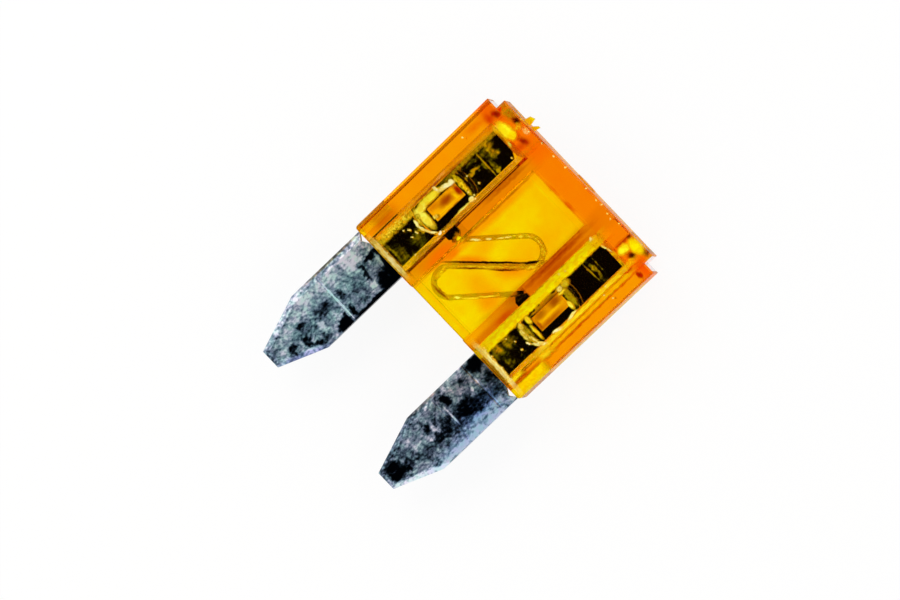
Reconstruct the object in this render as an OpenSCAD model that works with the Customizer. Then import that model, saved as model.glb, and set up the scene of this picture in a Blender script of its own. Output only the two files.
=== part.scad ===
// Small automotive blade fuse: a see-through moulded housing and a one-piece stamped element.
// It lies on its back. +X runs across the two blades, +Y towards the head, +Z up through the
// thickness. The modules work in the moulding's own frame: y = 0 is the housing's mouth, where
// the blades come out, and z = 0 is the middle of the blades' thickness.

/* [Housing] */
// Width over the tops of the two ears
housing_w = 11; // [10.8:0.1:11.5]
// How far each ear leans out between the mouth and its top
ear_lean = 0.06; // [0:0.02:0.1]
// Length of the ears, from the mouth to their tops
ear_l = 8.45; // [8.4:0.05:8.9]
// Thickness, front to back
housing_t = 3.6; // [3.4:0.1:4]
// Width of the head where it stands above the ears
cap_w = 9.8; // [9.6:0.05:10.3]
// Height of the head above the ears' tops
cap_h = 0.5; // [0.3:0.05:0.8]
// Radius of the ears' corners at the mouth
corner_r = 0.15; // [0.05:0.05:0.25]
// Chamfer along the outer edges of both faces
edge_break = 0.1; // [0.04:0.02:0.12]

/* [Window] */
// Width of the thin middle window that shows the link
window_w = 3.3; // [3.2:0.05:3.4]
// Top of the window and of the channels, from the mouth
window_top = 7.6; // [7.5:0.05:7.8]
// How deep the window lies below the face
window_depth = 0.85; // [0.5:0.05:0.95]
// How deep the lip at the window's open end lies below the face
lip_depth = 0.6; // [0.3:0.05:0.8]
// Length of that lip
lip_l = 0.45; // [0.2:0.05:0.8]

/* [Blade channels] */
// Width of a channel's flat floor
channel_w = 1.6; // [1.5:0.05:1.65]
// How deep the floor lies below the face
channel_depth = 0.65; // [0.4:0.05:0.8]
// How far a channel's side walls lean out over that depth
channel_lean = 0.3; // [0.1:0.02:0.34]

/* [Blades] */
// Thickness of the blades
blade_t = 0.8; // [0.7:0.05:0.85]
// Width of a blade outside the housing
blade_w = 2.85; // [2.7:0.05:2.95]
// Distance between the two blades' centre lines
blade_pitch = 7.7; // [7.6:0.05:7.8]
// Length of the blades outside the housing
blade_l = 7.1; // [6.5:0.1:8]
// Width of a blade's tip
tip_w = 1; // [0.8:0.1:1.4]
// Length of the taper on a blade's left edge
taper_left = 2.7; // [2:0.1:3]
// Length of the taper on a blade's right edge
taper_right = 2.3; // [2:0.1:3]
// Clearance between the element and the moulding, each side
clearance = 0.03; // [0.02:0.01:0.05]

/* [Link] */
// Width of the link, seen from the front
link_w = 0.26; // [0.2:0.02:0.4]
// Thickness of the link
link_t = 0.3; // [0.2:0.05:0.5]
// Radius of the link's two turns, to its centre line
turn_r = 0.72; // [0.66:0.01:0.74]
// Angle of the link's middle run across the window
run_angle = 45.5; // [44:0.5:47]
// How much more steeply its two outer runs climb
outer_lean = 4; // [2:0.5:5]
// Half the length of the link's middle run
run_half = 1.78; // [1.7:0.01:1.82]

/* [Moulding marks] */
// Height of the burr of flash beside the left probe opening
flash_h = 0.4; // [0.1:0.05:0.6]
// Diameter of the gate's stub on the head
gate_d = 1.1; // [0.8:0.1:1.6]

/* [Hidden] */
$fn = 64;

half_t = housing_t / 2;
head_y = ear_l + cap_h;
eps = 0.01;
// How far a cutting shape runs past the surface that it cuts
past = 0.4;

// Tails: the narrower part of each blade, inside the housing
tail_in = blade_pitch / 2 - blade_w / 2;
tail_w = 2.1;
tail_out = tail_in + tail_w;
tail_x = tail_in + tail_w / 2;
tail_top = window_top;
tail_slope = 0.4;
tail_slope_l = 0.7;
tail_nip = 0.15;

// Slots for the tails, open at the mouth
slot_t = blade_t + 2 * clearance;
slot_top = tail_top + clearance;
lead_in = 0.25;
lead_out = 0.16;

// Probe openings through the head, over each tail
probe_in = tail_in + tail_slope_l + 0.3;
probe_out = tail_out + clearance;
probe_t = 0.95;

// Link cavity and the bars beside it
cavity_w = 3.5;
cavity_top = 7.3;
bar_bottom = 3.6;

// Pockets that core out the feet of the ears
foot_x = 4.88;
foot_w = 0.32;
foot_t = 2.5;
foot_top = 1.8;

// Stakes: plastic pressed through a hole in each tail
stake_w = 0.8;
stake_l = 1.8;
stake_y = 3.75;
punch_w = 0.62;
punch_l = 1.6;
punch_depth = 0.3;
ridge_r = 1.5;
ridge_wire_r = 0.11;
ridge_sink = 0.03;

// Shoulders of the blades, just under the ears
shoulder_gap = 0.1;
notch_d = 0.22;
notch_inset = 0.06;

// Edges and marks on the blades
tip_bevel_w = 0.28;
tip_bevel_d = 0.2;
side_bevel_w = 0.34;
side_bevel_d = 0.07;
groove_y = 6.3;
groove_l = 0.55;
groove_d = 0.12;
groove_step = 0.04;
score_y = -3;
neck_score_y = -0.9;
score_w = 0.14;
score_d = 0.05;

// Link position, and the full-thickness lug that carries each end of it
link_y = 3.1;
lug_l = 0.6;
lug_low = -0.45;
lug_high = 0.22;
lug_nose = 0.28;
link_root = 0.4;

// Marks left by moulding
gate_x = 0.35;
gate_h = 0.07;
flash_x = -3.7;
flash_t = 0.22;

// The part is centred on its own box, with its back on z = 0
middle_y = (head_y + flash_h - blade_l) / 2;

// ---- helpers ----

module both_sides() {
    children();
    mirror([1, 0, 0]) children();
}

module both_faces() {
    children();
    mirror([0, 0, 1]) children();
}

// Wedge-sided profile of a drafted pocket: floor from a to b, `depth` below zero
function draft_profile(a, b, depth, lean) =
    let (rise = lean * (depth + past) / depth)
    [[a, -depth], [b, -depth], [b + rise, past], [a - rise, past]];

// A pocket sunk in the front face, with all its walls leaning out and its corners mitred
module drafted_pocket(x0, x1, y0, y1, depth, lean_x, lean_y) {
    span = housing_w + ear_l;
    translate([0, 0, half_t]) intersection() {
        rotate([90, 0, 0])
            linear_extrude(2 * span, center = true)
                polygon(draft_profile(x0, x1, depth, lean_x));
        rotate([90, 0, 90])
            linear_extrude(2 * span, center = true)
                polygon(draft_profile(y0, y1, depth, lean_y));
    }
}

// Planes off the corner between a face at height z and the edge that runs from a to b, with the
// solid on the left of that line. w is the bevel's width on the face and d its depth.
module edge_bevel(a, b, z, w, d) {
    run = b - a;
    far = 1;
    translate([a.x, a.y, z])
        rotate([0, 0, atan2(run.y, run.x)])
            rotate([90, 0, 90])
                translate([0, 0, -past])
                    linear_extrude(norm(run) + 2 * past)
                        polygon([[w, 0], [w, far], [-far, far], [-far, -d * (w + far) / w]]);
}

// ---- housing ----

// Slab from y0 up to y1 whose sides lean out by `lean`, with both faces chamfered along
// the sides and the top
module slab(top_w, y0, y1, lean) {
    x = top_w / 2;
    corners = [[x - lean, y0], [x, y1], [-x, y1], [lean - x, y0]];
    difference() {
        linear_extrude(housing_t, center = true) polygon(corners);
        both_faces()
            for (i = [0 : len(corners) - 2])
                edge_bevel(corners[i], corners[i + 1], half_t, edge_break, edge_break);
    }
}

// Square post less its own round, which rounds a corner off along z
module corner_cutter() {
    difference() {
        translate([0, -past, -housing_t]) cube([past + corner_r, past + corner_r, 2 * housing_t]);
        translate([0, corner_r, -housing_t - eps]) cylinder(r = corner_r, h = 3 * housing_t);
    }
}

// The two ears with what lies between them, and the head that stands above them
module body() {
    difference() {
        slab(housing_w, 0, ear_l, ear_lean);
        both_sides()
            translate([housing_w / 2 - ear_lean - corner_r, 0]) corner_cutter();
    }
    slab(cap_w, ear_l - 1, head_y, 0);
}

// Flat-floored recess over each tail, framed by bright leaning walls
module channels() {
    both_sides()
        drafted_pocket(tail_x - channel_w / 2, tail_x + channel_w / 2,
                       0.3, window_top, channel_depth, channel_lean, 0.22);
}

// Thin middle window, open at the mouth past a thicker lip
module window() {
    w = window_w / 2;
    drafted_pocket(-w, w, lip_l, window_top, window_depth, 0.08, 0.08);
    drafted_pocket(-w, w, -1, lip_l + eps, lip_depth, 0.08, 0.01);
}

module tail_slot() {
    linear_extrude(slot_t, center = true)
        polygon([
            [tail_in - clearance, -past],
            [probe_out, -past],
            [probe_out, slot_top],
            [tail_in + tail_slope_l, slot_top],
            [tail_in - clearance, slot_top - tail_slope],
        ]);
}

module probe_opening() {
    translate([probe_in, slot_top - past, -probe_t / 2])
        cube([probe_out - probe_in, head_y - slot_top + 2 * past, probe_t]);
}

// The way in for the whole element: from the mouth up to the bars beside the link
module mouth_slot() {
    translate([-probe_out, -past, -slot_t / 2])
        cube([2 * probe_out, bar_bottom + past, slot_t]);
    // lead-in that guides the element
    rotate([90, 0, 90])
        linear_extrude(2 * probe_out, center = true)
            polygon([
                [-past, -slot_t / 2 - lead_out],
                [0, -slot_t / 2 - lead_out],
                [lead_in, -slot_t / 2],
                [lead_in, slot_t / 2],
                [0, slot_t / 2 + lead_out],
                [-past, slot_t / 2 + lead_out],
            ]);
}

module link_cavity() {
    translate([-cavity_w / 2, -past, -slot_t / 2])
        cube([cavity_w, cavity_top + past, slot_t]);
}

module foot_pocket() {
    translate([foot_x, -past, -foot_t / 2])
        cube([foot_w, foot_top + past, foot_t]);
}

// Plastic pressed through the tail's hole
module stake() {
    translate([tail_x - stake_w / 2, stake_y - stake_l / 2, -slot_t / 2 - eps])
        cube([stake_w, stake_l, slot_t + 2 * eps]);
}

// Dent that the staking punch leaves in the channel's floor
module punch_dent() {
    translate([tail_x - punch_w / 2, stake_y - punch_l / 2, half_t - channel_depth - punch_depth])
        cube([punch_w, punch_l, punch_depth + past]);
}

// Ridge that the punch raised round its foot, as far as the channel is wide
module punch_ridge() {
    intersection() {
        translate([tail_x, stake_y, half_t - channel_depth - ridge_sink])
            rotate_extrude()
                translate([ridge_r, 0]) circle(ridge_wire_r, $fn = 24);
        translate([tail_x, stake_y, half_t - channel_depth])
            cube([channel_w + 2 * eps, 2 * (ridge_r + past), 0.5], center = true);
    }
}

module gate_stub() {
    translate([gate_x, head_y - eps, 0])
        rotate([-90, 0, 0])
            cylinder(d = gate_d, h = gate_h + eps);
}

// Two thin tongues of flash at the front rim of the left probe opening
module flash() {
    translate([flash_x, head_y - eps, probe_t / 2])
        linear_extrude(flash_t) {
            polygon([[0, 0], [0.4, 0], [0.32, flash_h + eps], [0.08, 0.8 * flash_h]]);
            polygon([[0.42, 0], [0.7, 0], [0.78, 0.75 * flash_h], [0.66, 0.7 * flash_h]]);
        }
}

module housing() {
    color("orange") {
        difference() {
            body();
            both_faces() {
                channels();
                window();
            }
            both_sides() {
                tail_slot();
                probe_opening();
                foot_pocket();
                both_faces() punch_dent();
            }
            mouth_slot();
            link_cavity();
        }
        both_sides() {
            stake();
            both_faces() punch_ridge();
        }
        gate_stub();
        flash();
    }
}

// ---- fuse element ----

// Outline of the part of a blade outside the housing, centred on its own centre line
tongue = [
    [-blade_w / 2, -shoulder_gap],
    [-blade_w / 2, taper_left - blade_l],
    [-tip_w / 2, -blade_l],
    [tip_w / 2, -blade_l],
    [blade_w / 2, taper_right - blade_l],
    [blade_w / 2, -shoulder_gap],
];

module tongue_blank() {
    difference() {
        linear_extrude(blade_t, center = true) polygon(tongue);
        both_faces()
            for (i = [0 : len(tongue) - 2]) {
                on_taper = i > 0 && i < len(tongue) - 2;
                edge_bevel(tongue[i], tongue[i + 1], blade_t / 2,
                           on_taper ? tip_bevel_w : side_bevel_w,
                           on_taper ? tip_bevel_d : side_bevel_d);
            }
    }
}

// Tail with its hole for the stake and its sloped inner corner
module tail_outline() {
    difference() {
        polygon([
            [tail_in, -1],
            [tail_out, -1],
            [tail_out, tail_top - tail_nip],
            [tail_out - tail_nip, tail_top],
            [tail_in + tail_slope_l, tail_top],
            [tail_in, tail_top - tail_slope],
        ]);
        translate([tail_x - stake_w / 2, stake_y - stake_l / 2]) square([stake_w, stake_l]);
    }
}

// Nick between a blade's outer shoulder and its tail
module shoulder_nick() {
    out = tail_in + blade_w;
    polygon([
        [tail_out, past],
        [tail_out, -shoulder_gap],
        [(tail_out + out) / 2, -shoulder_gap - notch_d],
        [out - notch_inset, -shoulder_gap],
        [out, past],
    ]);
}

// Step pressed across the tail near its top: steep below, easing back to the face above
module tail_groove() {
    rotate([90, 0, 90])
        linear_extrude(housing_w)
            polygon([
                [groove_y, blade_t / 2 + past],
                [groove_y, blade_t / 2],
                [groove_y + groove_step, blade_t / 2 - groove_d],
                [groove_y + groove_l, blade_t / 2],
                [groove_y + groove_l, blade_t / 2 + past],
            ]);
}

// Fine line scored across the right blade's front at height y
module score_line(y) {
    rotate([90, 0, 90])
        linear_extrude(housing_w)
            polygon([
                [y - score_w, blade_t / 2 + score_d],
                [y, blade_t / 2 - score_d],
                [y + score_w, blade_t / 2 + score_d],
            ]);
}

// Lug on the left tail that carries the link's end, at full thickness
module lug() {
    translate([0, link_y])
        polygon([
            [-tail_in - eps, lug_low],
            [-tail_in + lug_l - lug_nose, lug_low],
            [-tail_in + lug_l, 0],
            [-tail_in + lug_l - lug_nose, lug_high],
            [-tail_in - eps, lug_high],
        ]);
}

// Half turn of the link, open to the left
module link_turn() {
    outer = turn_r + link_w / 2;
    intersection() {
        difference() {
            circle(outer);
            circle(outer - link_w);
        }
        translate([0, -outer]) square([outer, 2 * outer]);
    }
}

// Half of the S: half the middle run, one turn, and the run back into the left lug
module link_half() {
    climb = run_angle + outer_lean;
    turn_x = run_half * cos(run_angle) - turn_r * sin(run_angle);
    outer_run = (turn_x - turn_r * sin(climb) + tail_in - link_root) / cos(climb);
    rotate(run_angle) {
        translate([0, -link_w / 2]) square([run_half, link_w]);
        translate([run_half, turn_r]) {
            link_turn();
            rotate(outer_lean) {
                link_turn();
                translate([-outer_run, turn_r - link_w / 2]) square([outer_run, link_w]);
            }
        }
    }
}

module link() {
    linear_extrude(link_t, center = true)
        translate([0, link_y])
            for (turn = [0, 180]) rotate(turn) link_half();
}

module fuse_element() {
    color("slategray") {
        difference() {
            union() {
                for (side = [-1, 1]) translate([side * blade_pitch / 2, 0]) tongue_blank();
                linear_extrude(blade_t, center = true) {
                    both_sides() tail_outline();
                    for (turn = [0, 180])
                        translate([0, link_y]) rotate(turn) translate([0, -link_y]) lug();
                }
            }
            both_sides() {
                linear_extrude(2 * blade_t, center = true) shoulder_nick();
                both_faces() {
                    tail_groove();
                    score_line(score_y);
                }
            }
            score_line(neck_score_y);
        }
        link();
    }
}

module in_place() {
    translate([0, -middle_y, half_t]) children();
}

in_place() housing();
in_place() fuse_element();
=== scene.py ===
import math

import bmesh
import bpy
from mathutils import Matrix, Vector


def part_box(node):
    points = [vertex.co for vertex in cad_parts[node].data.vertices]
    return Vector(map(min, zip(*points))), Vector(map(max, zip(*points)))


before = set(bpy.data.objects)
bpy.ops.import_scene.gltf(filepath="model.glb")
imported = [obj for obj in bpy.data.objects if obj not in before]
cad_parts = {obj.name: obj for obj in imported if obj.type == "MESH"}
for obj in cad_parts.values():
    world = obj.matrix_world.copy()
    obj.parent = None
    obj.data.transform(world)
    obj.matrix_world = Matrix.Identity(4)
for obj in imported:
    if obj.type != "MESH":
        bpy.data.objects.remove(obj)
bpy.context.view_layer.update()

MM = 0.001


# ---- helpers ----


def colour(hex_code):
    """An sRGB colour such as "C8963C" as Blender's linear RGBA."""
    parts = [int(hex_code[i : i + 2], 16) / 255 for i in (0, 2, 4)]
    linear = [c / 12.92 if c <= 0.04045 else ((c + 0.055) / 1.055) ** 2.4 for c in parts]
    return (*linear, 1)


def add(tree, kind, inputs=None, **settings):
    """Adds a node: settings are its own properties, inputs its sockets' values or what feeds them."""
    node = tree.nodes.new(kind)
    for name, value in settings.items():
        setattr(node, name, value)
    for name, value in (inputs or {}).items():
        if isinstance(value, bpy.types.NodeSocket):
            tree.links.new(value, node.inputs[name])
        else:
            node.inputs[name].default_value = value
    return node


def new_material(name):
    """An empty node material, and its tree."""
    material = bpy.data.materials.new(name)
    material.use_nodes = True
    material.node_tree.nodes.clear()
    return material, material.node_tree


def set_stops(ramp, stops):
    """Gives a colour ramp its stops, (position, hex colour) from low to high."""
    for element, (position, hex_code) in zip(ramp.elements, (stops[0], stops[-1])):
        element.position = position
        element.color = colour(hex_code)
    for position, hex_code in stops[1:-1]:
        ramp.elements.new(position).color = colour(hex_code)


# ---- places and masks, in millimetres ----

housing_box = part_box("housing")
# The housing's mouth, where the blades come out, and the middle of the strip's thickness
MOUTH = housing_box[0][1]
MIDDLE = (housing_box[0][2] + housing_box[1][2]) / 2
# The mean of a noise texture, and what brings its usual reach to about 1 either way
NOISE_MEAN = 0.5
NOISE_GAIN = 3
# The shares of its radius at which a speck starts to fade and is gone
SPECK_CORE = 0.5
SPECK_RIM = 1.3
# Further away than any point of the part
FAR_OFF = 100


def in_mm(tree, waver=0, patch=1):
    """Object coordinates in mm: x across, y up from the housing's mouth, z from the strip's middle.
    waver shifts them at random by about that much, over patches of the given size."""
    place = add(tree, "ShaderNodeTexCoord").outputs["Object"]
    place = add(tree, "ShaderNodeVectorMath", {
        0: place, 1: (1 / MM,) * 3, 2: (0, -MOUTH / MM, -MIDDLE / MM),
    }, operation="MULTIPLY_ADD").outputs[0]
    if not waver:
        return place
    stray = add(tree, "ShaderNodeTexNoise", {"Vector": place, "Scale": 1 / patch, "Detail": 2})
    stray = add(tree, "ShaderNodeVectorMath", {
        0: stray.outputs["Color"], 1: (NOISE_MEAN,) * 3,
    }, operation="SUBTRACT").outputs[0]
    return add(tree, "ShaderNodeVectorMath", {
        0: stray, 1: (NOISE_GAIN * waver,) * 3, 2: place,
    }, operation="MULTIPLY_ADD").outputs[0]


def blot(tree, place, x, y, half_x, half_y, turn, soft, square=False):
    """1 inside an ellipse or a rectangle on the fuse's face and 0 outside, turned by degrees. soft is
    how far its rim fades either way, as a share of its half size."""
    local = place
    if turn:
        local = add(tree, "ShaderNodeVectorRotate", {
            "Vector": place, "Center": (x, y, 0), "Angle": math.radians(-turn),
        }, rotation_type="Z_AXIS").outputs[0]
    local = add(tree, "ShaderNodeVectorMath", {
        0: local, 1: (1 / half_x, 1 / half_y, 0), 2: (-x / half_x, -y / half_y, 0),
    }, operation="MULTIPLY_ADD").outputs[0]
    if square:
        local = add(tree, "ShaderNodeVectorMath", {0: local}, operation="ABSOLUTE").outputs[0]
        parts = add(tree, "ShaderNodeSeparateXYZ", {0: local})
        reach = add(tree, "ShaderNodeMath", {
            0: parts.outputs["X"], 1: parts.outputs["Y"],
        }, operation="MAXIMUM").outputs[0]
    else:
        reach = add(tree, "ShaderNodeVectorMath", {0: local}, operation="LENGTH").outputs["Value"]
    return add(tree, "ShaderNodeMapRange", {
        "Value": reach, "From Min": 1 - soft, "From Max": 1 + soft, "To Min": 1, "To Max": 0,
    }, interpolation_type="SMOOTHSTEP", clamp=False).outputs[0]


def box_blot(tree, place, x0, x1, y0, y1, edge):
    """1 inside a rectangle given by its sides and 0 outside. Its long edges fade over edge mm either
    way, and its short ones over more."""
    half_x, half_y = (x1 - x0) / 2, (y1 - y0) / 2
    soft = edge / min(half_x, half_y)
    return blot(tree, place, (x0 + x1) / 2, (y0 + y1) / 2, half_x, half_y, 0, soft, True)


def specks(tree, place, points, radius):
    """1 within about radius mm of any of the points on the fuse's face."""
    flat = add(tree, "ShaderNodeVectorMath", {0: place, 1: (1, 1, 0)}, operation="MULTIPLY").outputs[0]
    near = FAR_OFF
    for x, y in points:
        gap = add(tree, "ShaderNodeVectorMath", {0: flat, 1: (x, y, 0)}, operation="DISTANCE")
        near = add(tree, "ShaderNodeMath", {
            0: gap.outputs["Value"], 1: near,
        }, operation="MINIMUM").outputs[0]
    return add(tree, "ShaderNodeMapRange", {
        "Value": near, "From Min": SPECK_CORE * radius, "From Max": SPECK_RIM * radius,
        "To Min": 1, "To Max": 0,
    }, interpolation_type="SMOOTHSTEP", clamp=False).outputs[0]


def over(tree, under, paint, mask):
    """Lays a hex colour over another colour by a mask."""
    return add(tree, "ShaderNodeMix", {
        "Factor": mask, 6: under, 7: colour(paint),
    }, data_type="RGBA").outputs[2]


def tinted(tree, under, paint, mask):
    """Multiplies a colour by a hex colour or by what a node gives, by a mask."""
    paint = colour(paint) if isinstance(paint, str) else paint
    return add(tree, "ShaderNodeMix", {
        "Factor": mask, 6: under, 7: paint,
    }, data_type="RGBA", blend_type="MULTIPLY").outputs[2]


def toward(tree, under, value, mask):
    """Moves a plain number towards another one by a mask."""
    return add(tree, "ShaderNodeMix", {"Factor": mask, 2: under, 3: value}, data_type="FLOAT").outputs[0]


# ---- moulded plastic ----

# All marks below lie on the fuse's face: x across, y up from the mouth, in mm.

# Areas of plainly other tint: left, right, low and high side, tint, fading edge in mm
TINTED_AREAS = [
    # the window, a little deeper towards the head
    (-1.65, 1.65, -0.1, 7.75, "FFFD00", 0.06),
    (-1.65, 1.65, 6.5, 7.75, "FFF200", 0.9),
    # the head, and the tops of the ears
    (-4.9, 4.9, 7.75, 9.2, "FFD600", 0.1),
    (-3.4, -1.8, 7.7, 8.9, "FFB800", 0.5),
    (-5.6, -4.5, 7.6, 8.6, "F8A800", 0.4),
    (4.5, 5.6, 7.9, 8.6, "FF9600", 0.3),
    # the bars beside the window
    (-2.38, -1.66, 2.6, 7.8, "F0DC00", 0.06),
    (-2.38, -1.66, -0.1, 2.6, "F4E800", 0.06),
    (1.66, 2.42, 2.2, 7.8, "DCB400", 0.3),
    (2.0, 2.42, -0.1, 2.2, "F0D400", 0.08),
    # the feet of the ears, where they are cored out
    (-5.22, -4.86, 0.55, 1.85, "ECC400", 0.1),
    (-4.86, -4.62, 0.65, 1.7, "CFA000", 0.12),
    (-5.22, -4.86, -0.1, 0.55, "FFE000", 0.1),
    (4.76, 4.92, 0.3, 2.0, "C88200", 0.06),
    # the two stakes
    (-3.86, -3.04, 2.86, 4.64, "FFDE00", 0.05),
    (3.04, 3.86, 2.86, 4.64, "ECC200", 0.05),
]
# Soft patches, some of them stains and some painted shade: place, half width and height, turn, tint, and
# its fading rim as a share of its size
STAINS_AND_SHADE = [
    # the window is palest at the mouth and just under the head
    (0, 0.25, 1.9, 0.95, 0, "FFFF00", 0.4),
    (-0.5, 7.36, 0.95, 0.1, 3, "FFFF10", 0.6),
    # and a little deeper beside the link, which is painted shade that the link casts, and along its own
    # left side
    (1.0, 5.4, 0.75, 1.9, 0, "FFEE00", 0.9),
    (0.85, 3.8, 0.7, 0.35, 48, "FFD800", 0.9),
    (-1.55, 4.8, 0.22, 2.9, 0, "FFDC00", 0.9),
    (-0.8, 3.5, 0.35, 0.8, 0, "FFEC00", 0.8),
    (0.65, 2.15, 0.95, 0.55, 0, "FFE800", 0.8),
    (1.2, 2.1, 0.35, 0.5, 0, "FFE000", 0.8),
    (-1.55, 2.25, 0.16, 0.4, 0, "FFC400", 0.7),
    (-0.75, 2.72, 0.75, 0.2, 45, "FFD200", 0.8),
    # shadow lines beside the link
    (-0.13, 3.24, 2.05, 0.045, 45.5, "420A00", 0.5),
    (0.62, 3.52, 0.5, 0.04, 45.5, "8C4600", 0.8),
    (-0.45, 2.52, 0.6, 0.035, 45.5, "A86C00", 0.8),
    (1.28, 4.72, 0.42, 0.06, 52, "3C0600", 0.5),
    (-0.65, 0.72, 0.42, 0.05, 4, "B87800", 0.7),
    # red scorch marks on the ears and the head
    (-4.78, 8.2, 0.17, 0.18, 0, "8C1000", 0.6),
    (-4.85, 7.8, 0.24, 0.16, 0, "D86400", 0.7),
    (-3.0, 8.26, 0.2, 0.15, 10, "8C1400", 0.7),
    (-2.92, 7.95, 0.12, 0.22, 0, "D86E00", 0.7),
    (5.08, 7.87, 0.17, 0.08, -12, "8C0800", 0.5),
    (4.75, 8.25, 0.15, 0.25, 10, "F07800", 0.8),
    (4.6, 7.6, 0.1, 0.3, -20, "E88800", 0.6),
    (-5.05, 7.1, 0.12, 0.5, 0, "F4B400", 0.8),
    # painted shade: dark lines beside the channels and the window, and along the head's lower edge
    (-4.36, 3.6, 0.05, 1.4, 0, "6A1400", 0.6),
    (-4.3, 5.1, 0.05, 0.7, 0, "9C5000", 0.6),
    (-2.2, 6.3, 0.08, 1.3, 0, "B08000", 0.6),
    (-1.7, 5.4, 0.05, 2.1, 0, "D0B000", 0.6),
    (1.88, 5.5, 0.1, 2.0, 0, "A85800", 0.6),
    (2.2, 5.3, 0.15, 0.9, 0, "C88800", 0.7),
    (2.2, 2.1, 0.13, 0.5, 0, "E8B000", 0.7),
    (-1.9, 1.9, 0.3, 0.9, 0, "FFD600", 0.7),
    (2.25, 6.6, 0.06, 0.9, 0, "D09800", 0.6),
    (3.45, 8.4, 0.06, 0.5, 0, "D89000", 0.6),
    (0.5, 7.68, 0.35, 0.07, 6, "E08C00", 0.7),
    (-0.5, 7.66, 0.4, 0.06, 0, "E89C00", 0.7),
    # darker patches in the probe openings
    (-4.3, 8.65, 0.5, 0.22, 4, "F0C800", 0.6),
    (-3.92, 8.66, 0.17, 0.11, 0, "6A2C00", 0.7),
    (-3.75, 7.66, 0.3, 0.07, 0, "907400", 0.6),
    (4.2, 8.24, 0.15, 0.14, 30, "785000", 0.7),
    (4.6, 8.84, 0.18, 0.16, 0, "4C4800", 0.7),
    (3.5, 8.75, 0.08, 0.1, 0, "A06400", 0.7),
    # mottles in the two stakes, and the shade beside the left one
    (-3.03, 3.7, 0.06, 0.75, 0, "7A5000", 0.6),
    (-3.55, 3.8, 0.2, 0.42, 0, "A85800", 0.7),
    (-3.5, 4.52, 0.3, 0.13, 0, "941400", 0.6),
    (-3.2, 3.6, 0.1, 0.75, 0, "FFF000", 0.6),
    (-3.72, 3.2, 0.14, 0.3, 0, "E0A800", 0.7),
    (-3.35, 4.25, 0.2, 0.06, 0, "FFFC00", 0.6),
    (3.25, 4.2, 0.2, 0.3, 0, "A86800", 0.7),
    (3.5, 3.6, 0.07, 0.8, 0, "FFEE00", 0.6),
    (3.75, 3.5, 0.12, 0.7, 0, "C08400", 0.7),
    (3.25, 3.3, 0.15, 0.3, 0, "BC8C00", 0.7),
    (3.6, 2.95, 0.25, 0.06, 0, "B07000", 0.6),
]
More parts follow.
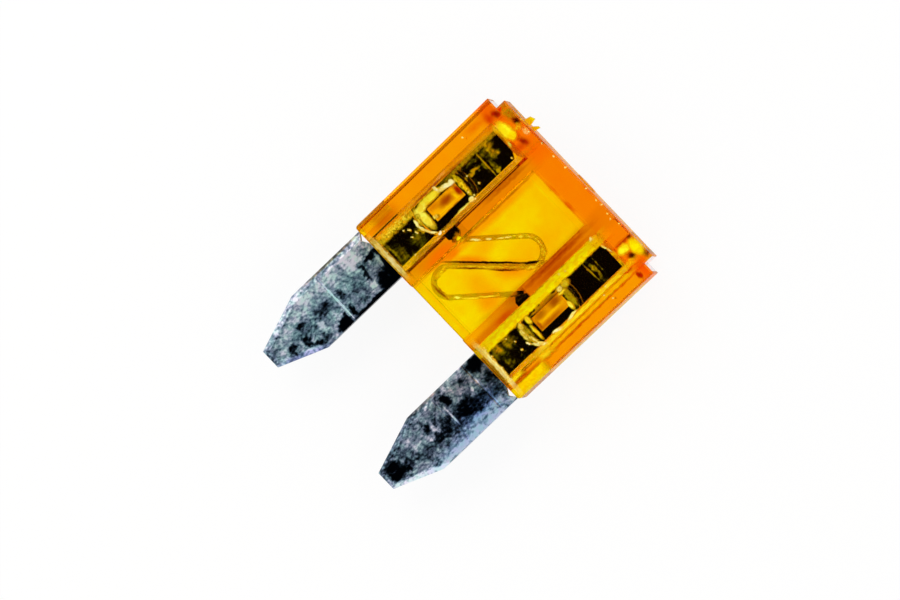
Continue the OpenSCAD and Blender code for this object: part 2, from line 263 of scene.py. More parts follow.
# Milky patches, where the plastic is crushed or scraped, and painted glints laid on in the same way: the
# same, and how solid each one is
CRUSHED_AND_GLINTS = [
    # round the two probe openings and along the head's edge over them
    (-3.85, 8.04, 0.5, 0.25, 8, "FFFF20", 0.5, 0.95),
    (-3.5, 8.12, 0.2, 0.2, 0, "FFE808", 0.4, 0.9),
    (-3.3, 7.72, 0.15, 0.09, -20, "FFF850", 0.5, 0.9),
    (-4.3, 7.75, 0.14, 0.16, 0, "FFE840", 0.5, 0.6),
    (3.78, 8.2, 0.2, 0.3, 0, "FFFF20", 0.5, 0.95),
    (4.08, 8.7, 0.42, 0.26, 4, "FFF400", 0.5, 0.92),
    (4.42, 8.0, 0.14, 0.2, 0, "FFD800", 0.5, 0.8),
    (-3.2, 8.7, 0.22, 0.13, 0, "FFE090", 0.5, 0.5),
    (-4.45, 8.7, 0.4, 0.24, 0, "C09408", 0.5, 0.6),
    (-3.62, 8.55, 0.16, 0.2, 0, "F4D018", 0.6, 0.7),
    (-3.7, 8.95, 0.5, 0.06, 0, "F8D428", 0.6, 0.8),
    (3.95, 8.95, 0.5, 0.08, 0, "F8D818", 0.6, 0.8),
    (4.95, 8.75, 0.2, 0.2, 0, "F8C800", 0.6, 0.7),
    # left channel: beside the stake, over it, and the lip of plastic pushed down under it, crushed plastic
    # with painted glints where the deformed plastic catches the light
    (-4.08, 3.3, 0.17, 0.7, 0, "FFF838", 0.4, 0.92),
    (-4.0, 2.7, 0.16, 0.35, 0, "FFFF60", 0.4, 0.95),
    (-3.96, 4.3, 0.11, 0.42, -12, "FFFFC0", 0.4, 1.0),
    (-4.2, 3.86, 0.12, 0.07, 20, "FFFFC0", 0.4, 1.0),
    (-3.5, 2.58, 0.48, 0.17, 0, "FFFF60", 0.5, 0.97),
    (-3.3, 2.98, 0.1, 0.1, 0, "FFF060", 0.5, 0.9),
    (-3.5, 4.86, 0.62, 0.12, 0, "FCE020", 0.4, 0.85),
    (-2.68, 4.15, 0.05, 0.45, 0, "F0F078", 0.5, 0.9),
    (-2.72, 4.72, 0.1, 0.12, 0, "FFFFC0", 0.4, 1.0),
    (-3.95, 4.6, 0.12, 0.1, 0, "FFFFC0", 0.4, 1.0),
    (-3.2, 2.2, 0.34, 0.06, 22, "FFFCA8", 0.4, 1.0),
    (-3.65, 2.12, 0.2, 0.06, -8, "FFFFB0", 0.4, 1.0),
    (-2.84, 2.4, 0.2, 0.05, 42, "FFF8A0", 0.4, 1.0),
    (-2.58, 2.63, 0.08, 0.11, 30, "FFFFE0", 0.3, 1.0),
    (-3.75, 2.35, 0.3, 0.12, -20, "E8D830", 0.5, 0.8),
    # right channel: under the stake, beside it and over it, crushed plastic with painted glints where the
    # deformed plastic catches the light
    (3.05, 2.32, 0.14, 0.12, -20, "F8EC60", 0.5, 0.9),
    (3.42, 2.18, 0.3, 0.09, -6, "FFF890", 0.5, 1.0),
    (3.85, 2.05, 0.12, 0.05, 20, "FFFFD0", 0.4, 1.0),
    (4.22, 2.42, 0.34, 0.08, 52, "FFFFB0", 0.4, 1.0),
    (3.85, 2.36, 0.26, 0.06, 18, "FFF890", 0.5, 1.0),
    (3.5, 2.3, 0.5, 0.18, 0, "CCB81C", 0.5, 0.6),
    (3.05, 2.78, 0.2, 0.1, 0, "FFEC30", 0.5, 0.92),
    (3.72, 2.68, 0.36, 0.07, 0, "FFE830", 0.5, 0.92),
    (4.3, 4.38, 0.06, 0.28, 12, "FFFCA0", 0.4, 1.0),
    (4.33, 3.45, 0.07, 0.28, -12, "FFFFC0", 0.4, 1.0),
    (3.02, 5.14, 0.14, 0.2, 0, "D8C420", 0.6, 0.9),
    (3.02, 4.8, 0.11, 0.12, 0, "FFFFB8", 0.5, 1.0),
    (3.9, 4.66, 0.2, 0.09, 0, "FFF850", 0.5, 1.0),
    (3.5, 4.9, 0.55, 0.13, 0, "A89410", 0.5, 0.8),
    (3.22, 4.75, 0.06, 0.2, 0, "FFE830", 0.5, 0.9),
    (3.2, 7.64, 0.3, 0.045, 19, "FFFFA0", 0.4, 1.0),
    (2.42, 7.44, 0.08, 0.08, 0, "FFFFA0", 0.6, 0.9),
    # bright glints along the link
    (-1.25, 3.56, 0.24, 0.05, 43, "FFFFA0", 0.5, 1.0),
    (-0.86, 4.04, 0.13, 0.05, 43, "FFFFA0", 0.5, 1.0),
    (-0.5, 4.46, 0.18, 0.03, 52, "FFF870", 0.5, 0.95),
    (-0.3, 4.72, 0.14, 0.03, 52, "FFFF90", 0.5, 0.95),
    (-0.1, 5.05, 0.5, 0.022, 52, "FFEE20", 0.6, 0.7),
    (0.06, 5.16, 0.09, 0.05, 45, "FFF840", 0.6, 0.9),
    (0.3, 5.45, 0.28, 0.03, 30, "FFF040", 0.6, 0.85),
    (0.8, 5.6, 0.3, 0.035, 0, "FFF030", 0.6, 0.85),
    (1.28, 5.44, 0.15, 0.09, -35, "FFF220", 0.7, 0.85),
    (1.5, 4.95, 0.045, 0.22, 0, "FFE810", 0.6, 0.8),
    (0.05, 3.13, 1.75, 0.045, 45.5, "F4D418", 0.7, 0.8),
    (1.44, 4.55, 0.25, 0.06, 62, "FFE41C", 0.7, 0.9),
    (-1.3, 1.4, 0.05, 0.42, 6, "FFEC10", 0.7, 0.8),
    (0.08, 1.12, 0.14, 0.05, 45, "FFFF50", 0.6, 1.0),
    (0.5, 1.52, 0.4, 0.035, 46, "FFF430", 0.6, 0.9),
    (0.98, 2.14, 0.5, 0.035, 51, "FFF428", 0.6, 0.9),
    (-1.74, 3.1, 0.11, 0.12, 0, "FFEE00", 0.6, 1.0),
]
# Pale specks: painted sparkles along the head's top edge and the mouth's lips, and nicks and grains
# elsewhere
NICKS_AND_SPARKLES = [
    (-3.7, 1.66), (-3.64, 1.7), (-3.32, 1.86), (-3.4, 1.83), (-3.82, 1.45), (-3.35, 1.56), (-2.66, 1.1),
    (-2.5, 2.83), (-3.02, 5.48), (-2.76, 4.95), (-3.05, 4.84), (-2.6, 4.88), (-3.62, 5.3), (-2.8, 7.35),
    (-4.22, 0.2), (-4.02, 0.23), (-3.84, 0.18), (-3.6, 0.24), (-3.43, 0.2), (-3.18, 0.22),
    (-2.74, 0.17), (-2.5, 0.2), (2.72, 0.42), (2.9, 0.36), (3.12, 0.42), (3.3, 0.38), (3.62, 0.35),
    (3.8, 0.4), (4.08, 0.37), (4.52, 0.4), (2.62, 5.56), (2.55, 5.26), (2.6, 0.44), (4.68, 6.12),
    (4.42, 6.42), (3.0, 1.44), (3.84, 1.64), (3.36, 1.66), (-3.1, 8.78), (-3.28, 8.74), (0.6, 8.88),
    (2.1, 8.78), (2.36, 8.72), (4.2, 8.94), (-2.3, 8.84), (-1.5, 8.8), (-0.75, 8.86), (1.3, 8.83),
    (1.62, 8.88), (2.8, 8.86), (5.05, 6.3), (-5.0, 6.4),
]
# Painted light, laid on as milky strips along the channels' leaning walls and in the right ear's foot,
# where the slopes bend the room's light: left, right, low and high side, colour, fading edge in mm, and
# how solid each one is
BRIGHT_STRIPS = [
    (-4.4, -4.05, 0.3, 2.3, "FFF044", 0.1, 0.86),
    (-4.36, -4.14, 4.9, 7.6, "C0A010", 0.08, 0.65),
    (-2.66, -2.42, 0.3, 1.3, "E8C410", 0.08, 0.7),
    (-2.62, -2.45, 1.3, 7.5, "A88008", 0.08, 0.5),
    (2.41, 2.86, 0.3, 7.55, "FFF400", 0.06, 1.0),
    (4.36, 4.58, 2.2, 7.8, "FFEC18", 0.06, 0.95),
    (4.64, 4.88, 2.05, 2.65, "FFF020", 0.12, 0.9),
    (4.5, 4.7, 0.3, 0.95, "FFE010", 0.08, 0.95),
    (4.68, 4.84, 2.6, 7.6, "FFBC00", 0.05, 0.9),
    (4.92, 5.52, 0.05, 1.95, "FFDC00", 0.08, 0.9),
]
# Painted highlights along the edges of the mouth, where the blades went in: left, right, low and high
# side, fading edge
MOUTH_LIPS = [(-4.42, -2.36, 0.07, 0.24, 0.05), (2.4, 4.78, 0.19, 0.38, 0.05)]
# All of the plastic but its outer sides, given in the same way
INNER_FACE = (-5.4, 5.4, 0.03, 8.9, 0.02)

# A patch at least this solid isn't broken up by the mottle
NEARLY_SOLID = 0.9
# A face whose normal has less than this along the thickness counts as an upright wall
UPRIGHT = 0.2
# Ragged edges stray by this much over patches of this size, and crumbly ones over finer patches
EDGE_WAVER = 0.05
EDGE_PATCH = 0.25
CRUMB_PATCH = 0.06
SPECK_RADIUS = 0.045
# Grain of the mottle in the half-solid milky patches, of the clouds in the dye, of the crumbs, of the
# melt's flow, and of the grit on the milky patches, which is drawn coarser than it is so that it shows
MOTTLE_GRAIN = 0.13
CLOUD_GRAIN = 0.7
CRUMB_GRAIN = 0.3
FLOW_GRAIN = 0.9
GRIT_GRAIN = 0.08


def lay_milky_patch(tree, under, mask, paint, solid, mottle):
    """Lays a milky patch of a hex colour over the tint and the milkiness under it, by a mask; such patches
    are crushed plastic in places and painted highlights in others. What isn't nearly solid is broken up by
    the mottle."""
    tint, milk = under
    if solid < NEARLY_SOLID:
        mask = add(tree, "ShaderNodeMath", {0: mask, 1: mottle}, operation="MULTIPLY").outputs[0]
    here = add(tree, "ShaderNodeMath", {0: mask, 1: solid}, operation="MULTIPLY").outputs[0]
    tint = over(tree, tint, paint, mask)
    return tint, add(tree, "ShaderNodeMath", {0: here, 1: milk}, operation="MAXIMUM").outputs[0]


def dye_tint_and_shade(tree, place, ragged):
    """The tint of the clear plastic, with all its stains, its painted shade and faint clouds."""
    tint = colour("FFFC00")
    for *sides, paint, edge in TINTED_AREAS:
        tint = over(tree, tint, paint, box_blot(tree, place, *sides, edge))
    for x, y, half_x, half_y, turn, paint, soft in STAINS_AND_SHADE:
        tint = over(tree, tint, paint, blot(tree, ragged, x, y, half_x, half_y, turn, soft))
    cloud = add(tree, "ShaderNodeTexNoise", {
        "Vector": place, "Scale": 1 / CLOUD_GRAIN, "Detail": 5, "Roughness": 0.65,
    })
    cloud = add(tree, "ShaderNodeMapRange", {
        "Value": cloud.outputs[0], "From Min": 0.35, "From Max": 0.65,
    })
    return tinted(tree, tint, "FFF2FF", cloud.outputs[0])


def milky_patches(tree, tint, ragged, crumbly, mottle):
    """The tint with all milky patches laid over it, and how milky it is, from 0 to 1: painted highlights
    along the channels' walls, the mouth and the link, and crushed plastic with painted glints round the
    stakes. Each mask is used up before the next is made, because that keeps the shader small enough to
    run."""
    state = tint, 0
    for *sides, paint, edge, solid in BRIGHT_STRIPS:
        state = lay_milky_patch(tree, state, box_blot(tree, ragged, *sides, edge), paint, solid, mottle)
    for lip in MOUTH_LIPS:
        state = lay_milky_patch(tree, state, box_blot(tree, ragged, *lip), "FFFCB4", 1.0, mottle)
    for x, y, half_x, half_y, turn, paint, soft, solid in CRUSHED_AND_GLINTS:
        mask = blot(tree, ragged, x, y, half_x, half_y, turn, soft)
        state = lay_milky_patch(tree, state, mask, paint, solid, mottle)
    mask = specks(tree, crumbly, NICKS_AND_SPARKLES, SPECK_RADIUS)
    return lay_milky_patch(tree, state, mask, "FFF898", NEARLY_SOLID, mottle)


def amber_plastic():
    """Injection-moulded polyamide with amber dye, see-through: where it is thick it looks orange, and
    where it is thin it looks yellow. The stakes' rims and the walls beside them are crushed and milky,
    with painted glints; painted highlights lie as milky patches along the channels' walls, the mouth and
    the link, and painted shade lies beside the link and along the rims of the recesses."""
    material, tree = new_material("amber_polyamide_moulded")
    place = in_mm(tree)
    ragged = in_mm(tree, EDGE_WAVER, EDGE_PATCH)
    crumbly = in_mm(tree, EDGE_WAVER, CRUMB_PATCH)
    mottle = add(tree, "ShaderNodeTexNoise", {
        "Vector": place, "Scale": 1 / MOTTLE_GRAIN, "Detail": 3, "Roughness": 0.6,
    })
    mottle = add(tree, "ShaderNodeMapRange", {
        "Value": mottle.outputs[0], "From Min": 0.4, "From Max": 0.6, "To Min": 0.15, "To Max": 1,
    }).outputs[0]
    tint = dye_tint_and_shade(tree, place, ragged)
    tint, milk = milky_patches(tree, tint, ragged, crumbly, mottle)

    # nothing milky lies on the walls that stand upright, neither crushed plastic nor painted highlight
    facing = add(tree, "ShaderNodeTexCoord").outputs["Normal"]
    facing = add(tree, "ShaderNodeVectorMath", {0: facing}, operation="ABSOLUTE").outputs[0]
    facing = add(tree, "ShaderNodeSeparateXYZ", {0: facing}).outputs["Z"]
    facing = add(tree, "ShaderNodeMath", {0: facing, 1: UPRIGHT}, operation="GREATER_THAN").outputs[0]
    milk = add(tree, "ShaderNodeMath", {0: milk, 1: facing}, operation="MULTIPLY").outputs[0]

    # the milky patches, crushed plastic and painted highlights alike, are crumbly: about half of them
    # stays a deeper yellow
    crumbs = add(tree, "ShaderNodeTexNoise", {"Vector": ragged, "Scale": 1 / CRUMB_GRAIN, "Detail": 4})
    crumbs = add(tree, "ShaderNodeMapRange", {
        "Value": crumbs.outputs[0], "From Min": 0.44, "From Max": 0.58,
    }, interpolation_type="SMOOTHSTEP", clamp=False).outputs[0]
    crumbs = add(tree, "ShaderNodeMath", {0: crumbs, 1: milk}, operation="MULTIPLY").outputs[0]
    tint = tinted(tree, tint, "FAE49C", crumbs)
    clear = add(tree, "ShaderNodeMath", {0: 1, 1: milk}, operation="SUBTRACT").outputs[0]

    # the mould's outer sides are etched a little and its faces polished; the milky patches, crushed
    # plastic and painted highlights alike, are dull
    inner = box_blot(tree, place, *INNER_FACE)
    etched = add(tree, "ShaderNodeMapRange", {
        "Value": inner, "To Min": 0.45, "To Max": 0.06,
    }).outputs[0]
    rough = add(tree, "ShaderNodeMath", {0: milk, 1: 0.3, 2: etched}, operation="MULTIPLY_ADD").outputs[0]

    flow = add(tree, "ShaderNodeTexNoise", {"Vector": place, "Scale": 1 / FLOW_GRAIN, "Detail": 3})
    grit = add(tree, "ShaderNodeTexNoise", {"Vector": place, "Scale": 1 / GRIT_GRAIN, "Detail": 2})
    ripple = add(tree, "ShaderNodeBump", {
        "Height": flow.outputs[0], "Strength": 0.2, "Distance": 0.02 * MM,
    })
    bump = add(tree, "ShaderNodeBump", {
        "Height": grit.outputs[0], "Strength": milk, "Distance": 0.01 * MM, "Normal": ripple.outputs[0],
    })
    # the gloss is amber too, so that the pale room doesn't wash the colour out
    body = add(tree, "ShaderNodeBsdfPrincipled", {
        "Base Color": tint,
        "Roughness": rough,
        "IOR": 1.53,
        "Specular Tint": colour("A06400"),
        "Transmission Weight": clear,
        "Normal": bump.outputs[0],
    })
    # it throws hardly any shadow, so that light gets into it and to the element
    lets_lamps_in = add(tree, "ShaderNodeBsdfTransparent", {"Color": colour("F4F4F4")})
    path = add(tree, "ShaderNodeLightPath")
    surface = add(tree, "ShaderNodeMixShader", {
        0: path.outputs["Is Shadow Ray"],
        1: body.outputs[0],
        2: lets_lamps_in.outputs[0],
    })
    # the dye: red passes freely, green fades over a few millimetres, blue is gone at once
    dye = add(tree, "ShaderNodeVolumeAbsorption", {"Color": (0.997, 0.9, 0.0, 1), "Density": 3 / MM})
    add(tree, "ShaderNodeOutputMaterial", {"Surface": surface.outputs[0], "Volume": dye.outputs[0]})
    return material


# ---- stamped metal ----

# Tones of the metal's dull skin, from 0, black, to 1, near white: place, half width and height, turn,
# tone, and its fading rim as a share of its size. What is past 0 or 1 stays so under the mottling.
# Many of these are painted light and shade: pale edges and small glints where light is caught, and black
# where the metal lies in shade and mirrors the dark ceiling
METAL_TONES = [
    # left blade: a painted reflection pale on the left, painted shade black along its right edge, and
    # small painted glints
    (-3.85, -3.3, 1.3, 3.3, 0, 0.68, 0.4),
    (-4.78, -2.5, 0.5, 2.4, 0, 0.95, 0.6),
    (-5.1, -2.2, 0.14, 2.3, 0, 0.66, 0.6),
    (-3.4, -1.95, 0.8, 0.6, 0, 0.62, 0.5),
    (-4.12, -0.45, 0.16, 0.5, 0, -0.05, 0.4),
    (-3.5, -0.08, 0.7, 0.14, 0, 0.05, 0.5),
    (-2.78, -0.46, 0.5, 0.6, 10, -0.15, 0.4),
    (-2.46, -1.6, 0.13, 1.2, 0, -0.2, 0.5),
    (-3.72, -1.16, 0.5, 0.09, 0, 0.16, 0.5),
    (-2.96, -1.26, 0.2, 0.15, 20, 1.0, 0.5),
    (-3.72, -2.68, 0.28, 0.16, 0, 0.1, 0.5),
    (-2.86, -2.74, 0.3, 0.12, 0, 0.1, 0.5),
    (-2.9, -3.16, 0.24, 0.08, 0, 0.08, 0.5),
    (-2.64, -3.5, 0.24, 0.4, 0, -0.15, 0.4),
    (-3.2, -3.6, 0.3, 0.28, 0, 0.8, 0.5),
    (-3.9, -3.75, 0.32, 0.42, 0, 0.38, 0.6),
    (-3.3, -4.34, 0.3, 0.17, 25, 1.0, 0.4),
    (-2.72, -4.5, 0.28, 0.26, 0, 0.5, 0.4),
    (-4.05, -4.75, 0.26, 0.22, 0, 0.42, 0.6),
    (-3.55, -4.7, 0.3, 0.25, 0, 0.52, 0.6),
    (-3.25, -5.3, 0.26, 0.2, 0, 0.16, 0.5),
    (-4.0, -5.05, 0.14, 0.14, 0, 0.2, 0.5),
    (-2.85, -4.95, 0.16, 0.26, 0, 0.16, 0.5),
    (-4.35, -5.5, 0.3, 0.75, 18, 0.74, 0.6),
    (-3.46, -5.96, 0.22, 0.26, 0, 0.05, 0.5),
    (-3.9, -6.55, 0.4, 0.35, 0, 0.6, 0.6),
    # right blade: dark in the middle, with pale edges that are painted reflections, and small painted
    # glints
    (2.45, -2.2, 0.12, 2.2, 0, 0.7, 0.6),
    (2.95, -1.5, 0.42, 0.55, 0, 0.52, 0.5),
    (3.9, -0.3, 0.6, 0.35, 0, 0.24, 0.5),
    (2.82, -0.34, 0.32, 0.4, 0, 0.02, 0.4),
    (4.2, -1.3, 0.4, 0.5, 0, 0.26, 0.6),
    (4.0, -2.1, 0.4, 0.6, -8, 0.04, 0.45),
    (3.02, -2.5, 0.26, 0.22, 0, 0.02, 0.45),
    (3.5, -1.3, 0.09, 0.14, 0, 1.0, 0.5),
    (4.2, -3.25, 0.5, 0.4, 0, 0.22, 0.6),
    (3.65, -3.78, 0.3, 0.1, -6, 0.88, 0.5),
    (4.08, -3.95, 0.2, 0.2, 0, 0.12, 0.5),
    (4.66, -3.85, 0.13, 0.1, 0, 0.0, 0.4),
    (3.4, -4.12, 0.42, 0.14, 0, 0.15, 0.6),
    (3.92, -4.26, 0.12, 0.06, 15, 0.95, 0.5),
    (3.7, -4.95, 0.36, 0.2, 12, 0.82, 0.6),
    (4.0, -5.3, 0.28, 0.18, 0, 0.3, 0.5),
    (3.35, -5.6, 0.25, 0.5, -15, 0.6, 0.6),
    (4.02, -5.85, 0.28, 0.26, 0, 0.1, 0.5),
    (3.84, -6.45, 0.42, 0.42, 0, -0.1, 0.4),
    (4.85, -2.2, 0.3, 2.5, 0, 0.8, 0.5),
    (5.14, -2.2, 0.14, 2.5, 0, 1.05, 0.5),
    # the tails inside the housing: painted black, for the shade they lie in and the dark ceiling they
    # mirror, with paler skin and painted glints in places
    (-3.3, 1.1, 0.75, 0.95, 0, 0.1, 0.3),
    (3.65, 1.1, 0.85, 0.95, 0, 0.02, 0.3),
    (-3.15, 0.66, 0.5, 0.22, 0, 0.6, 0.6),
    (-3.3, 0.45, 0.6, 0.08, 0, 0.8, 0.6),
    (-3.3, 2.0, 0.14, 0.1, 0, 1.0, 0.5),
    (-3.0, 1.65, 0.5, 0.25, 0, 0.55, 0.6),
    (-3.6, 5.6, 0.1, 0.42, 0, 1.0, 0.6),
    (-3.95, 6.2, 0.12, 1.1, 0, 0.5, 0.6),
    (-3.2, 5.3, 0.35, 0.2, 0, 0.35, 0.6),
    (-3.4, 6.52, 0.75, 0.15, 0, 0.6, 0.4),
    (-3.4, 6.2, 0.4, 0.1, 0, 0.55, 0.6),
    (-2.76, 6.52, 0.12, 0.12, 0, 1.1, 0.5),
    (-3.78, 6.93, 0.42, 0.26, -6, 0.95, 0.5),
    (3.1, 0.72, 0.38, 0.35, 0, 0.66, 0.6),
    (3.1, 1.4, 0.38, 0.35, 0, 0.55, 0.6),
    (3.9, 0.8, 0.3, 0.16, 0, 0.58, 0.6),
    (2.98, 3.9, 0.14, 0.9, 0, 1.2, 0.3),
    (3.55, 6.58, 0.62, 0.15, 4, 0.8, 0.4),
    # the roots of the link
    (-1.74, 3.05, 0.34, 0.5, 0, 1.1, 0.4),
    (1.82, 3.1, 0.18, 0.3, 0, 0.8, 0.5),
    (2.2, 3.3, 0.2, 0.25, 0, 0.34, 0.5),
]
# Straight marks of painted light and shade, given in the same way: highlights on scored and pressed lines,
# and the bevels of the tips, some lit and some in shade
METAL_LINE_LIGHTS = [
    (-3.62, -2.98, 0.95, 0.042, 0, 1.6, 0.4),
    (3.35, -0.9, 0.85, 0.035, 0, 0.75, 0.6),
    (3.8, -2.82, 0.5, 0.045, 0, 1.0, 0.6),
    (-4.68, -5.7, 0.13, 1.35, 17.8, 0.8, 0.5),
    (-2.86, -5.75, 0.13, 1.2, -21.4, 0.7, 0.4),
    (3.0, -5.7, 0.13, 1.3, 20, 0.5, 0.5),
    (4.86, -5.7, 0.16, 1.3, -21.4, 1.1, 0.4),
    (-3.4, 6.28, 0.75, 0.045, -1, 1.1, 0.5),
    (3.45, 6.34, 0.62, 0.045, 3, 1.1, 0.5),
    (3.45, 6.82, 0.45, 0.035, 0, 0.6, 0.6),
]
# Coloured bloom, and painted warm and blue reflections along the blades' edges and bevels, given in the
# same way with a tint for the tone
METAL_BLOOM_AND_REFLECTIONS = [
    (-3.7, -3.4, 0.8, 2.8, 0, "DEF4F2", 0.8),
    (2.95, -1.9, 0.5, 1.4, 0, "F8EAE4", 0.7),
    (-5.22, -1.9, 0.07, 1.7, 0, "C4A888", 0.5),
    (-2.86, -5.75, 0.16, 1.2, -21.4, "DCDCFF", 0.5),
    (4.95, -2.2, 0.4, 2.7, 0, "D2E6FF", 0.5),
    (4.3, -1.6, 0.4, 1.5, 0, "B8D4FF", 0.6),
    (2.46, -3.4, 0.1, 1.2, 0, "DCC4B8", 0.6),
]
# Tones of the skin outside the housing and inside it, where it is painted dark for shade, and of the link,
# painted near white in place of its bright reflections
OPEN_TONE = 0.56
HOUSED_SHADE_TONE = -0.12
LINK_TONE = 1.3
# What lies in the housing, and where the link is: left, right, low and high side, fading edge
IN_HOUSING = (-5, 5, -0.02, 9, 0.02)
ROUND_LINK = (-1.72, 1.72, 0.3, 6.2, 0.05)

# What each tone of the skin looks like, and the cold bloom that lies over all of it
SKIN_SHADES = [(0.1, "02050A"), (0.3, "1F2E3C"), (0.5, "566B7E"), (0.75, "A4B5C4"), (1.0, "F8FCFF")]
BLOOM_SHADES = [(0.4, "DCF2F0"), (0.6, "F0EAF8")]

# How far the edges of the tones stray and over what patches, and the same for the straight lines
TONE_WAVER = 0.16
TONE_PATCH = 0.4
LINE_WAVER = 0.02
LINE_PATCH = 0.1
# Grain of the blotches, of the bloom, and of the speckle and the pits, which are drawn coarser than
# they are so that they show
BLOTCH_GRAIN = 0.5
BLOOM_GRAIN = 0.3
SPECKLE_GRAIN = 0.13
PIT_GRAIN = 0.12
# How much of the scale of tones the blotches and the speckle span
BLOTCH_SPAN = 1.9
SPECKLE_SPAN = 1.2
# Rolling drew the pattern out a little along the blades
ROLLED = (1.0, 0.65, 1.0)


def zinc_strip():
    """Stamped zinc-alloy strip, dull with oxide, mottled pale and black, with a cold teal and mauve bloom
    between. Its tones also hold painted light and shade: the tails in the housing are painted black for
    shade, and pale edges, bevels, scored lines and glints are painted highlights. The link is painted near
    white, in place of its bright reflections."""
    material, tree = new_material("zinc_alloy_stamped")
    place = in_mm(tree)
    ragged = in_mm(tree, TONE_WAVER, TONE_PATCH)
    steady = in_mm(tree, LINE_WAVER, LINE_PATCH)

    inside = box_blot(tree, place, *IN_HOUSING)
    tone = toward(tree, OPEN_TONE, HOUSED_SHADE_TONE, inside)
    for x, y, half_x, half_y, turn, level, soft in METAL_TONES:
        tone = toward(tree, tone, level, blot(tree, ragged, x, y, half_x, half_y, turn, soft))
    for x, y, half_x, half_y, turn, level, soft in METAL_LINE_LIGHTS:
        tone = toward(tree, tone, level, blot(tree, steady, x, y, half_x, half_y, turn, soft))
    link = box_blot(tree, place, *ROUND_LINK)
    tone = toward(tree, tone, LINK_TONE, link)

    # mottling, in two sizes
    rolled = add(tree, "ShaderNodeVectorMath", {0: place, 1: ROLLED}, operation="MULTIPLY").outputs[0]
    blotch = add(tree, "ShaderNodeTexNoise", {
        "Vector": rolled, "Scale": 1 / BLOTCH_GRAIN, "Detail": 5, "Roughness": 0.72,
    })
    stir = add(tree, "ShaderNodeMath", {0: blotch.outputs[0], 1: -NOISE_MEAN}, operation="ADD").outputs[0]
    tone = add(tree, "ShaderNodeMath", {
        0: stir, 1: BLOTCH_SPAN, 2: tone,
    }, operation="MULTIPLY_ADD").outputs[0]
    speckle = add(tree, "ShaderNodeTexNoise", {"Vector": rolled, "Scale": 1 / SPECKLE_GRAIN, "Detail": 3})
    stir = add(tree, "ShaderNodeMath", {0: speckle.outputs[0], 1: -NOISE_MEAN}, operation="ADD").outputs[0]
    tone = add(tree, "ShaderNodeMath", {
        0: stir, 1: SPECKLE_SPAN, 2: tone,
    }, operation="MULTIPLY_ADD").outputs[0]

    shade = add(tree, "ShaderNodeValToRGB", {0: tone})
    set_stops(shade.color_ramp, SKIN_SHADES)
    bloom = add(tree, "ShaderNodeTexNoise", {"Vector": place, "Scale": 1 / BLOOM_GRAIN, "Detail": 2})
    bloom = add(tree, "ShaderNodeValToRGB", {0: bloom.outputs[0]})
    set_stops(bloom.color_ramp, BLOOM_SHADES)
    skin = tinted(tree, shade.outputs[0], bloom.outputs[0], 1.0)
    for x, y, half_x, half_y, turn, paint, soft in METAL_BLOOM_AND_REFLECTIONS:
        skin = tinted(tree, skin, paint, blot(tree, steady, x, y, half_x, half_y, turn, soft))

    # pale oxide looks only half like metal; the link has no mirror in it, so that it stays bright
    # in its dark box
    metallic = add(tree, "ShaderNodeMapRange", {
        "Value": tone, "From Min": 0.15, "From Max": 0.55, "To Min": 1.0, "To Max": 0.5,
    }).outputs[0]
    metallic = toward(tree, metallic, 0.0, link)

    pits = add(tree, "ShaderNodeTexNoise", {"Vector": place, "Scale": 1 / PIT_GRAIN, "Detail": 4})
    bump = add(tree, "ShaderNodeBump", {
        "Height": pits.outputs[0], "Strength": 0.5, "Distance": 0.02 * MM,
    })
    body = add(tree, "ShaderNodeBsdfPrincipled", {
        "Base Color": skin,
        "Metallic": metallic,
        "Roughness": 0.4,
        "Normal": bump.outputs[0],
    })
    add(tree, "ShaderNodeOutputMaterial", {"Surface": body.outputs[0]})
    return material


# ---- the part ----

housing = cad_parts["housing"]
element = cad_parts["fuse_element"]
housing.data.materials.clear()
housing.data.materials.append(amber_plastic())
element.data.materials.clear()
element.data.materials.append(zinc_strip())


# ---- stage and lights ----

FLOOR_HALF = 0.6
# A hair under the part, so that the two faces don't fight
FLOOR_DROP = 0.02 * MM
LAMP_PLACE = (-0.18, 0.0, 0.18)
LAMP_SIZE = 0.15
LAMP_WATTS = 0.19


def white_card():
    """White card under bright light: plain white to the eye, in gloss and through plastic, with only
    a tenth of its own shading left, which is enough for a faint shadow."""
    material, tree = new_material("white_card")
    card = add(tree, "ShaderNodeBsdfDiffuse", {"Color": colour("FDFDFD")})
    path = add(tree, "ShaderNodeLightPath")
    white = add(tree, "ShaderNodeEmission", {"Color": (1, 1, 1, 1), "Strength": 1.0})
    mirrored = add(tree, "ShaderNodeMath", {
        0: path.outputs["Is Glossy Ray"], 1: path.outputs["Is Transmission Ray"],
    }, operation="MAXIMUM").outputs[0]
    seen = add(tree, "ShaderNodeMath", {
        0: path.outputs["Is Camera Ray"], 1: 0.9, 2: mirrored,
    }, operation="MULTIPLY_ADD").outputs[0]
    surface = add(tree, "ShaderNodeMixShader", {0: seen, 1: card.outputs[0], 2: white.outputs[0]})
    add(tree, "ShaderNodeOutputMaterial", {"Surface": surface.outputs[0]})
    return material


def lay_floor():
    """A square of white card for the fuse to lie on."""
    shape = bmesh.new()
    bmesh.ops.create_grid(shape, x_segments=1, y_segments=1, size=FLOOR_HALF)
    bmesh.ops.translate(shape, verts=shape.verts, vec=(0, 0, -FLOOR_DROP))
    mesh = bpy.data.meshes.new("floor")
    shape.to_mesh(mesh)
    shape.free()
    mesh.materials.append(white_card())
    floor = bpy.data.objects.new("floor", mesh)
    bpy.context.collection.objects.link(floor)


def hang_lamp():
    """One soft, slightly warm lamp on the left, which gives the shadow its side."""
    light = bpy.data.lights.new("key", "AREA")
    light.shape = "SQUARE"
    light.size = LAMP_SIZE
    light.energy = LAMP_WATTS
    light.color = colour("FFF4E6")[:3]
    lamp = bpy.data.objects.new("key", light)
    lamp.location = LAMP_PLACE
    lamp.rotation_euler = (-Vector(LAMP_PLACE)).to_track_quat("-Z", "Y").to_euler()
    bpy.context.collection.objects.link(lamp)


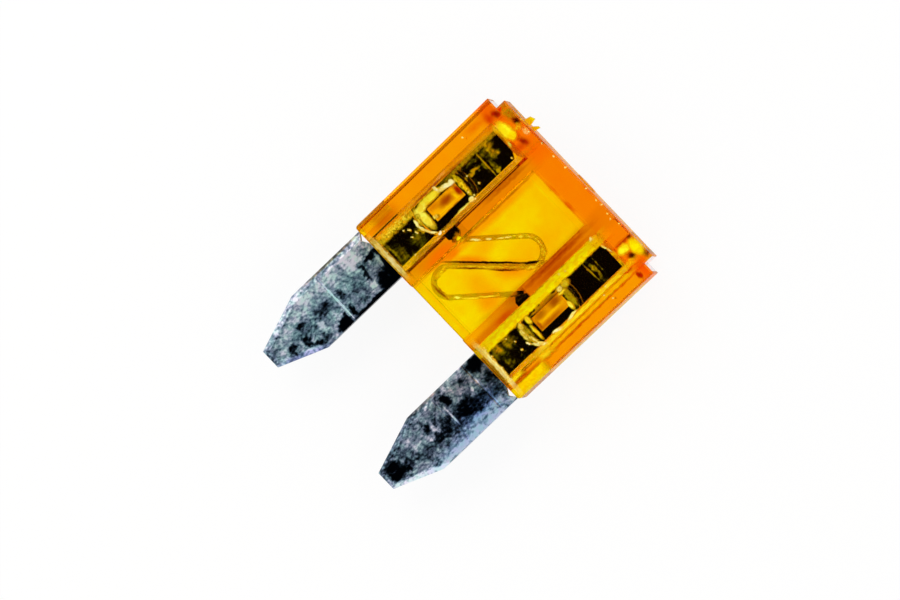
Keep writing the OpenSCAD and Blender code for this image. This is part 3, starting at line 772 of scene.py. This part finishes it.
def light_room():
    """The room gives most of the light. Its walls are white, and a little brighter than that at mid
    height; straight overhead it is dark, as over a camera, and that keeps the metal from washing out."""
    world = bpy.data.worlds.new("studio")
    bpy.context.scene.world = world
    world.use_nodes = True
    tree = world.node_tree
    tree.nodes.clear()
    way = add(tree, "ShaderNodeTexCoord").outputs["Generated"]
    height = add(tree, "ShaderNodeSeparateXYZ", {0: way}).outputs["Z"]
    walls = add(tree, "ShaderNodeMapRange", {
        "Value": height, "From Min": 0.2, "From Max": 0.4, "To Min": 1.0, "To Max": 1.15,
    }, interpolation_type="SMOOTHSTEP").outputs[0]
    ceiling = add(tree, "ShaderNodeMapRange", {
        "Value": height, "From Min": 0.75, "From Max": 0.95, "To Min": walls, "To Max": 0.08,
    }, interpolation_type="SMOOTHSTEP").outputs[0]
    room = add(tree, "ShaderNodeBackground", {"Color": (1, 1, 1, 1), "Strength": ceiling})
    add(tree, "ShaderNodeOutputWorld", {"Surface": room.outputs[0]})


lay_floor()
hang_lamp()
light_room()


# ---- camera ----

# A long lens from 0.4 m off, which sees about 41 mm across
CAMERA_FAR = 0.4
LENS = 350.56
SENSOR = 36
# It is almost straight above, leaning a little towards the right ear and the head, and turned
TILT_X = math.radians(3.05)
TILT_Y = math.radians(3.44)
TURN = math.radians(46.29)
# What it looks at, beside the middle of the fuse's top
AIM_X = -0.03 * MM
AIM_Y = -0.26 * MM


def place_camera():
    """The camera, with the fuse lying aslant in its view, the blades to the lower left."""
    camera_data = bpy.data.cameras.new("camera")
    camera_data.sensor_width = SENSOR
    camera_data.lens = LENS
    camera_data.clip_start = 0.01
    camera_data.clip_end = 10
    camera = bpy.data.objects.new("camera", camera_data)
    bpy.context.collection.objects.link(camera)

    aim = Vector((AIM_X, AIM_Y, housing_box[1][2]))
    back = Vector((math.sin(TILT_X), math.sin(TILT_Y), 0))
    back.z = math.sqrt(1 - back.length_squared)
    up = Vector((-math.sin(TURN), math.cos(TURN), 0))
    up = (up - back * up.dot(back)).normalized()
    turn = Matrix((up.cross(back), up, back)).transposed()
    camera.matrix_world = Matrix.Translation(aim + back * CAMERA_FAR) @ turn.to_4x4()
    bpy.context.scene.camera = camera


place_camera()
bpy.context.scene.view_settings.view_transform = "Standard"
